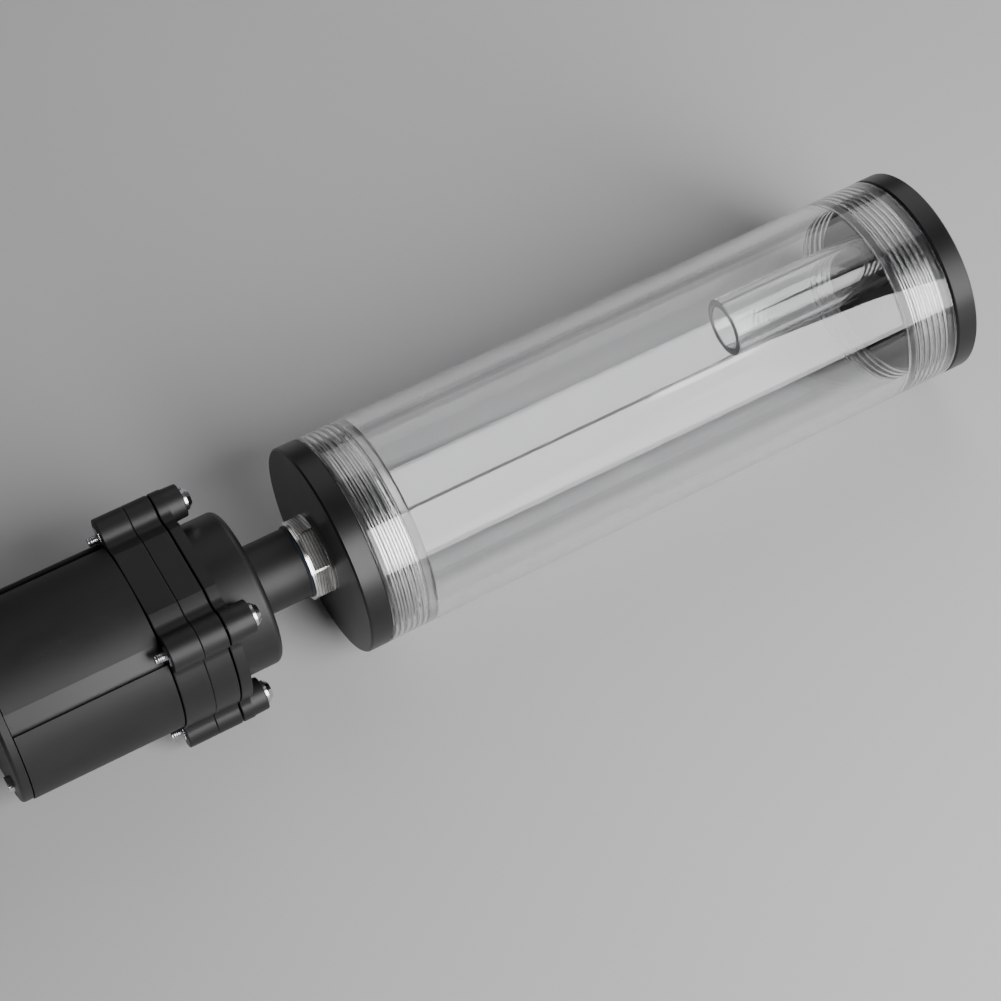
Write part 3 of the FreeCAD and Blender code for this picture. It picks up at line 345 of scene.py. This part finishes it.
def thread_rows(low, high, anchor):
    """A right-hand internal thread between two stations, listed from high to low. Each corner of a
    turn follows its helix x = anchor + pitch (n + share + t / 2 pi), cut off at both stations."""
    shares = np.array([corner[0] for corner in THREAD_CORNERS])
    depths = np.array([corner[1] for corner in THREAD_CORNERS])
    first = math.floor((low - anchor) / thread_pitch) - 1
    count = int((high - low) / thread_pitch) + 4
    phase = (first + np.arange(count)[:, None] + shares).ravel()
    around = np.linspace(0.0, 1.0, tube_columns + 1)
    stations = np.clip(anchor + thread_pitch * (phase[:, None] + around), low, high)
    share = ((stations - anchor) / thread_pitch - around) % 1.0
    cut = np.interp(share, np.append(shares, 1.0), np.append(depths, 0.0))
    whole = np.tile(depths, count)[:, None] * np.ones_like(around)
    inside = (stations > low) & (stations < high)
    radii = thread_bore + thread_depth * np.where(inside, whole, cut)
    return stations[::-1], radii[::-1]


def clear_acrylic(name, draw_height):
    """Polished clear acrylic with faint draw lines along x and a few wiped smudges."""
    shader = Shader(name, Transmission_Weight=1.0, IOR=1.49)
    lines = shader.noise(shader.place(scale=(0.02, 1.0, 1.0)), 0.8 * MM, detail=2.0)
    smudges = shader.noise(shader.place(shift=(0.0, 0.0, draw_height)), 22 * MM, detail=4.0)
    shader.drive(
        Base_Color=smudges.ramp((0.3, (0.985, 0.99, 0.99)), (0.8, (0.965, 0.972, 0.975))),
        Normal=shader.bump(lines, 0.06, 0.004 * MM),
    )
    return shader, smudges


acrylic, smudges = clear_acrylic("clear_acrylic", 0.0)
radius = acrylic.radius(axis_height)
frost_edge = 0.05 * MM
outer_margin = 0.8 * MM
cut_surface = ((radius - thread_bore) / frost_edge - 1.0).clamped()
inside_skin = ((tube_radius - outer_margin - radius) / (0.3 * MM)).clamped()
acrylic.drive(Roughness=cut_surface * inside_skin * 0.30 + smudges * 0.02)
skin_parts = [
    level_rows([
        (tube_low.x, mouth),
        (tube_low.x, tube_radius - tube_edge),
        (tube_low.x + tube_edge, tube_radius),
        (tube_high.x - tube_edge, tube_radius),
        (tube_high.x, tube_radius - tube_edge),
        (tube_high.x, mouth),
        (far_end_mouth, mouth),
    ]),
    thread_rows(far_end_relief, far_end_mouth, far_end_anchor),
    level_rows([
        (far_end_relief, thread_root),
        (far_end_step, thread_root),
        (far_end_step, tube_bore),
        (pump_end_step, tube_bore),
        (pump_end_step, thread_root),
        (pump_end_relief, thread_root),
    ]),
    thread_rows(pump_end_mouth, pump_end_relief, tube_low.x),
    level_rows([(pump_end_mouth, mouth)]),
]
clear_tube = welded_object("clear_tube", *turned_skin(*[
    np.concatenate([rows[place] for rows in skin_parts]) for place in (0, 1)
]))
clear_tube.data.materials.append(acrylic.material)
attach(clear_tube, "pump_and_reservoir")
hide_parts("reservoir_tube")

# The riser, a thinner extruded acrylic tube, saw-cut at its free end and pressed into the far cap.
# The saw leaves the cut face frosted, which draws it as a grey ring.

riser_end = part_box("riser_tube")[0].x
frost_depth = 0.15 * MM
riser_acrylic, riser_smudges = clear_acrylic("riser_acrylic", 40 * MM)
past_cut = riser_end + frost_depth - riser_acrylic.part(riser_acrylic.place(), 0)
cut_face = (past_cut / frost_edge).clamped()
riser_acrylic.drive(Roughness=cut_face * 0.6 + riser_smudges * 0.02)
riser_acrylic.cover(cut_face * 0.4, Base_Color=(0.75, 0.77, 0.78, 1.0), Roughness=0.5)
wear(riser_acrylic.material, "riser_tube")

# Caps and fill plug, turned from black acetal and polished. Faint tool marks run round each axis,
# and handling leaves broad dull patches.


def turned_black(name, height, shine):
    """Black acetal turned about an x axis at this height."""
    shader = Shader(name, IOR=1.48, Specular_IOR_Level=0.4)
    marks = shader.tool_marks(height, 0.16 * MM)
    patches = shader.noise(shader.place(), 14 * MM, detail=4.0)
    dust = shader.noise(shader.place(), 0.5 * MM, detail=2.0)
    specks = ((dust - 0.72) * 12.0).clamped()
    shader.drive(
        Base_Color=(patches * 0.006 + specks * 0.03 + 0.004).ramp((0.0, 0.0), (1.0, (1.0, 1.0, 1.03))),
        Roughness=(patches * 0.12 + marks * 0.08 + specks * 0.3 + shine).clamped(),
        Normal=shader.bump(marks, 0.12, 0.006 * MM),
    )
    return shader.material


plug_low, plug_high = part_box("fill_plug")
wear(turned_black("cap_black", axis_height, 0.25), "pump_end_cap", "far_end_cap")
wear(turned_black("plug_black", (plug_low.z + plug_high.z) / 2, 0.30), "fill_plug")

# Pump mouldings, glass-filled nylon with the fine grain of a spark-eroded mould. The walls are
# satin, with cloudy flow marks and a few pale rubs where the plates were handled.


def moulded(name, colour, grain, shine, polished=None):
    """An injection-moulded plastic with a fine even grain. Where a polished radius is given, what
    lies nearer to the tube's axis than that is shinier, and painted paler: a painted highlight."""
    shader = Shader(name, IOR=1.45)
    texture = shader.noise(shader.place(), grain, detail=4.0, roughness=0.6)
    flow = shader.noise(shader.place(scale=(0.5, 1.0, 1.0)), 16 * MM, detail=5.0)
    rubs = ((shader.noise(shader.place(), 5 * MM, detail=6.0, roughness=0.7) - 0.62) * 5.0).clamped()
    dark = tuple(0.75 * share for share in colour)
    light = tuple(1.35 * share + 0.004 for share in colour)
    smooth = 0.0
    if polished:
        smooth = ((polished - shader.radius(axis_height)) / (0.2 * MM)).clamped()
    shader.drive(
        # The polished mask also lifts the colour towards the pale stop: a painted highlight.
        Base_Color=(flow + rubs * 0.35 + smooth).ramp((0.3, dark), (0.9, light)),
        Roughness=(texture * 0.16 + flow * 0.22 + rubs * 0.10 + shine - smooth * 0.18).clamped(),
        Normal=shader.bump(texture, 0.5, 0.02 * MM),
    )
    return shader.material


PUMP_COLOUR = (0.0085, 0.0085, 0.0091)
PUMP_GRAIN = 0.32 * MM
# The floors of the housing's nut channels lie more than a millimetre under its skin, and the mould
# was polished there; their colour is also painted paler there, a painted highlight.
housing_low, housing_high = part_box("motor_housing")
channel_floor = (housing_high.z - housing_low.z) / 2 - 1.0 * MM
wear(moulded("pump_black", PUMP_COLOUR, PUMP_GRAIN, 0.27),
     "pump_cover", "isolation_can", "motor_plate", "rear_cover")
wear(moulded("housing_black", PUMP_COLOUR, PUMP_GRAIN, 0.34, polished=channel_floor), "motor_housing")

# The hexagon nipple, turned from brass bar and nickel plated: fine even tool marks, with a few
# deeper ones across the flats, which are also painted dark as painted shade in their grooves. It is
# screwed up tight, so its corners stand where the thread ends, which is 32 degrees on from the solid's.

HEXAGON_TURN = 32.0
CORNER_CUT = 0.45 * MM


def turned_copy(name, source, degrees):
    """A copy of a CAD node's mesh, turned right-handed about the tube's axis."""
    mesh = nodes[source].data.copy()
    mesh.materials.clear()
    centre = Matrix.Translation((0.0, 0.0, axis_height))
    mesh.transform(centre @ Matrix.Rotation(math.radians(degrees), 4, "X") @ centre.inverted())
    for layer in ("custom_normal", "sharp_edge"):
        if layer in mesh.attributes:
            mesh.attributes.remove(mesh.attributes[layer])
    weld(mesh, 1e-6)
    made = bpy.data.objects.new(name, mesh)
    bpy.context.scene.collection.objects.link(made)
    return made


def chamfer_long_corners(mesh, width):
    """Break the six corners of the hexagon, the only sharp edges that run along x, with three
    narrow facets each; their edges stay sharp, so the flats keep their own shading."""
    work = bmesh.new()
    work.from_mesh(mesh)
    corners = []
    for edge in work.edges:
        span = edge.verts[0].co - edge.verts[1].co
        along = abs(span.x) > 0.99 * span.length and span.length > 2 * MM
        if along and len(edge.link_faces) == 2 and edge.calc_face_angle() > math.radians(45):
            corners.append(edge)
    facets = bmesh.ops.bevel(
        work, geom=corners, offset=width, segments=3, profile=0.5, affect="EDGES",
    )
    for facet in facets["faces"]:
        for edge in facet.edges:
            edge.smooth = False
    work.to_mesh(mesh)
    work.free()


nickel = Shader("plated_brass", Metallic=1.0)
marks = nickel.tool_marks(axis_height, 0.34 * MM)
fine_marks = nickel.tool_marks(axis_height, 0.07 * MM)
feed = 0.80 * MM
feed_lines = (nickel.part(nickel.place(), 0) * (2 * math.pi / feed)).wave()
grooves_and_shade = ((feed_lines - 0.6) * 4.0).clamped()
stains = nickel.noise(nickel.place(), 3 * MM, detail=5.0)
# The feed grooves darken the colour as well as the bump: painted shade in the grooves.
nickel.drive(
    Base_Color=(stains * 0.5 + grooves_and_shade * 0.5).ramp(
        (0.2, (0.92, 0.91, 0.885)), (0.8, (0.34, 0.33, 0.32)),
    ),
    Roughness=(fine_marks * 0.08 + stains * 0.08 + 0.14).clamped(),
    Normal=nickel.bump(marks * 0.5 + fine_marks * 0.2 - grooves_and_shade, 0.6, 0.04 * MM),
)
hexagon_nipple = turned_copy("hexagon_nipple", "adapter_nipple", HEXAGON_TURN)
chamfer_long_corners(hexagon_nipple.data, CORNER_CUT)
hexagon_nipple.data.materials.append(nickel.material)
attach(hexagon_nipple, "pump_and_reservoir")
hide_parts("adapter_nipple")

# Nuts, rear cover screws and, below, clamp screws: cold-headed steel with bright zinc, which has a
# mottled crystal finish and goes duller in patches.

steel = Shader("zinc_steel", Metallic=1.0)
crystal = 0.35 * MM
crystals = steel.node("ShaderNodeTexVoronoi", {}, {"Vector": steel.place(), "Scale": 1.0 / crystal}, 1)
crystal_tone = steel.node("ShaderNodeRGBToBW", {}, {0: crystals})
patches = steel.noise(steel.place(), 1.6 * MM, detail=4.0)
steel.drive(
    Base_Color=patches.ramp((0.3, (0.70, 0.71, 0.73)), (0.8, (0.52, 0.53, 0.55))),
    Roughness=(crystal_tone * 0.08 + patches * 0.14 + 0.12).clamped(),
    Normal=steel.bump(patches, 0.25, 0.03 * MM),
)
wear(steel.material, "clamp_nuts", "rear_cover_screws")

# The clamp screws stand out of their nuts. Their M3 threads are rolled, so the tips are copies cut
# down to the thread's root, each inside a sleeve that carries the turns and a blunt end.

screw_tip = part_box("clamp_screws")[0].x
nut_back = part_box("clamp_nuts")[0].x
screw_crest = 1.5 * MM
screw_root = 1.17 * MM
screw_pitch = 0.5 * MM
screw_columns = 33
screw_rows = 56
screw_circle_radius = 28.5 * MM
screw_reach = screw_circle_radius * math.sqrt(0.5)
SCREW_CENTRES = [
    (side * screw_reach, axis_height + rise * screw_reach) for side in (-1, 1) for rise in (-1, 1)
]


def screw_thread(centre):
    """One threaded tip: radius = root + depth * (1 - |2 f - 1|), where f is the share of the turn at
    x / pitch + t / 2 pi; the first turn fades to the root, and both ends close on the axis."""
    inside_nut = nut_back + 0.4 * MM
    faded = 0.6 * MM
    along = np.linspace(screw_tip, inside_nut, screw_rows)[:, None] * np.ones(screw_columns)
    around = np.linspace(0.0, 1.0, screw_columns)
    turn = ((along - screw_tip) / screw_pitch + around) % 1.0
    fade = np.clip((along - screw_tip) / faded, 0.0, 1.0)
    depth = (screw_crest - screw_root) * fade
    radii = screw_root + depth * (1.0 - np.abs(2.0 * turn - 1.0))
    closed = np.zeros((1, screw_columns))
    stations = np.concatenate([along[:1], along, along[-1:]])
    return turned_skin(stations, np.concatenate([closed, radii, closed]), centre)


def narrow_tips(mesh):
    """Draw the tips in to nine tenths of the thread's root, and a little back from the thread's end."""
    shank = np.zeros(3 * len(mesh.vertices))
    mesh.vertices.foreach_get("co", shank)
    shank = shank.reshape(-1, 3)
    for centre in SCREW_CENTRES:
        offset = shank[:, 1:] - centre
        at_tip = (shank[:, 0] < nut_back) & (np.hypot(*offset.T) < 2 * screw_crest)
        shank[at_tip, 1:] = centre + offset[at_tip] * (0.9 * screw_root / screw_crest)
    shank[:, 0] = np.maximum(shank[:, 0], screw_tip + 0.1 * MM)
    mesh.vertices.foreach_set("co", shank.ravel())
    mesh.update()


tips = [screw_thread(centre) for centre in SCREW_CENTRES]
tip_points = np.concatenate([points for points, faces in tips])
tip_faces = np.concatenate([
    faces + place * len(points) for place, (points, faces) in enumerate(tips)
])
screw_tips = welded_object("screw_tips", tip_points, tip_faces)
plain_screws = turned_copy("plain_screws", "clamp_screws", 0.0)
narrow_tips(plain_screws.data)
for piece in (screw_tips, plain_screws):
    piece.data.materials.append(steel.material)
    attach(piece, "pump_and_reservoir")
    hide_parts("clamp_screws")

# Seals and gland, moulded black nitrile rubber: matt, with a very fine bloom. The seal between pump
# and nipple is a blue-grey one.


def rubber(name, colour):
    """Matt moulded rubber with a pale bloom."""
    shader = Shader(name, IOR=1.5)
    bloom = shader.noise(shader.place(), 2.5 * MM, detail=6.0, roughness=0.65)
    skin = shader.noise(shader.place(), 0.18 * MM, detail=3.0)
    pale = tuple(1.6 * share + 0.012 for share in colour)
    shader.drive(
        Base_Color=bloom.ramp((0.4, colour), (0.85, pale)),
        Roughness=(bloom * 0.2 + skin * 0.1 + 0.38).clamped(),
        Normal=shader.bump(skin, 0.35, 0.015 * MM),
    )
    return shader.material


wear(rubber("seal_rubber", (0.016, 0.016, 0.017)),
     "pump_end_oring", "far_end_oring", "fill_plug_oring",
     "adapter_oring_cap", "pump_oring", "cable_gland")
wear(rubber("pump_seal_rubber", (0.020, 0.028, 0.046)), "adapter_oring_pump")

# The impeller and the shaft's support, moulded in one grade of pale grey engineering plastic. The
# impeller is pressed on its magnet, and the support sits in the cover's inlet.

wear(moulded("inner_plastic", (0.30, 0.30, 0.29), 0.4 * MM, 0.28), "impeller", "shaft_support")

# The fixed shaft and the thrust washers that the rotor runs between, of ground alumina: off-white
# and glossy, with grinding lines round the axis.

ceramic = Shader("ground_ceramic", IOR=1.7)
grinding = ceramic.tool_marks(axis_height, 0.05 * MM)
body_tone = ceramic.noise(ceramic.place(), 4 * MM, detail=4.0)
ceramic.drive(
    Base_Color=body_tone.ramp((0.3, (0.76, 0.74, 0.69)), (0.75, (0.84, 0.83, 0.79))),
    Roughness=(grinding * 0.14 + body_tone * 0.06 + 0.10).clamped(),
    Normal=ceramic.bump(grinding, 0.1, 0.003 * MM),
)
wear(ceramic.material, "shaft", "front_thrust_washer", "rear_thrust_washer")

# The rotor's two bushes, of carbon pressed and fired, which the coolant wets on the shaft: dark
# grey with brighter flakes.

carbon = Shader("pressed_carbon", Metallic=0.35)
flakes = carbon.noise(carbon.place(), 0.22 * MM, detail=2.0, roughness=0.7)
density = carbon.noise(carbon.place(), 2.4 * MM)
carbon.drive(
    Base_Color=(flakes * 0.8 + density * 0.2).ramp(
        (0.45, (0.018, 0.018, 0.019)), (0.75, (0.11, 0.11, 0.12)),
    ),
    Roughness=(density * 0.2 + flakes * 0.2 + 0.22).clamped(),
    Normal=carbon.bump(flakes, 0.2, 0.01 * MM),
)
wear(carbon.material, "front_bush", "rear_bush")

# The rotor's ring magnet, of ferrite sintered and then ground to size: charcoal grey with small
# chips and ground lines.

magnet = Shader("sintered_ferrite", IOR=1.8)
ground = magnet.tool_marks(axis_height, 0.12 * MM)
pores = ((magnet.noise(magnet.place(), 0.6 * MM, detail=5.0) - 0.6) * 8.0).clamped()
magnet.drive(
    Base_Color=(ground * 0.5 + 0.3).ramp((0.3, (0.030, 0.030, 0.032)), (0.8, (0.055, 0.055, 0.058))),
    Roughness=(pores * 0.3 + ground * 0.12 + 0.32).clamped(),
    Normal=magnet.bump(ground * 0.3 - pores, 0.4, 0.02 * MM),
)
wear(magnet.material, "rotor_magnet")

# The stator core, a stack of stamped electrical steel sheets pressed into the housing: blue-grey
# with dark joints between the sheets.

lamination = Shader("lamination", Metallic=0.9)
sheet_thickness = 0.5 * MM
stack = (lamination.part(lamination.place(), 0) / sheet_thickness).math("FRACT")
joint = ((stack - 0.5).size() * 12.0 - 5.0).clamped()
oxide = lamination.noise(lamination.place(), 2 * MM, detail=4.0)
lamination.drive(
    Base_Color=(oxide * 0.6 + 0.4 - joint * 0.6).ramp(
        (0.1, (0.05, 0.05, 0.055)), (0.9, (0.34, 0.35, 0.39)),
    ),
    Roughness=(oxide * 0.2 + joint * 0.3 + 0.28).clamped(),
    Normal=lamination.bump(joint * -1.0, 0.5, 0.03 * MM),
)
wear(lamination.material, "stator_core")

# Windings of enamelled copper wire, wound along the axis and over the ends of each tooth of the core,
# turn beside turn. The colour is painted darker between the turns: painted shade.

winding = Shader("enamelled_copper", Metallic=0.85, Coat_Weight=0.5)
wire_pitch = 0.45 * MM
around = winding.radius(axis_height) / wire_pitch * (2 * math.pi)
strands_and_shade = around.wave() * 0.5 + 0.5
tint = winding.noise(winding.place(), 1.5 * MM)
# The colour goes dark in the troughs between the turns: painted shade, not a tone of the wire.
winding.drive(
    Base_Color=(strands_and_shade * 0.6 + tint * 0.4).ramp((0.1, (0.16, 0.05, 0.02)), (0.9, (0.72, 0.32, 0.14))),
    Roughness=(tint * 0.15 + 0.22).clamped(),
    Normal=winding.bump(strands_and_shade, 0.7, 0.12 * MM),
)
wear(winding.material, "stator_coils")

# The drive board behind the stator, glass-epoxy under green lacquer, with copper tracks that run in
# square steps.

board = Shader("lacquered_board", IOR=1.5, Coat_Weight=0.4)
track_step = 9 * MM
tracks = board.node("ShaderNodeTexBrick", {"offset": 0.5, "squash": 1.0}, {
    "Vector": board.place(), "Scale": 1.0 / track_step, "Mortar Size": 0.045, "Mortar Smooth": 0.2,
    "Color1": (0.0, 0.0, 0.0, 1.0), "Color2": (0.05, 0.05, 0.05, 1.0), "Mortar": (1.0, 1.0, 1.0, 1.0),
})
copper = board.node("ShaderNodeRGBToBW", {}, {0: tracks})
weave = board.noise(board.place(), 0.5 * MM, detail=2.0)
board.drive(
    Base_Color=(copper * 0.6 + weave * 0.2).ramp(
        (0.0, (0.004, 0.055, 0.022)), (0.9, (0.03, 0.20, 0.06)),
    ),
    Roughness=(weave * 0.1 + 0.24).clamped(),
    Normal=board.bump(copper, 0.3, 0.035 * MM),
)
wear(board.material, "control_board")

# The drive board's components, soldered to it: packages moulded from black epoxy, with a dull
# speckled face.

wear(moulded("component_black", (0.022, 0.022, 0.023), 0.15 * MM, 0.42), "board_components")
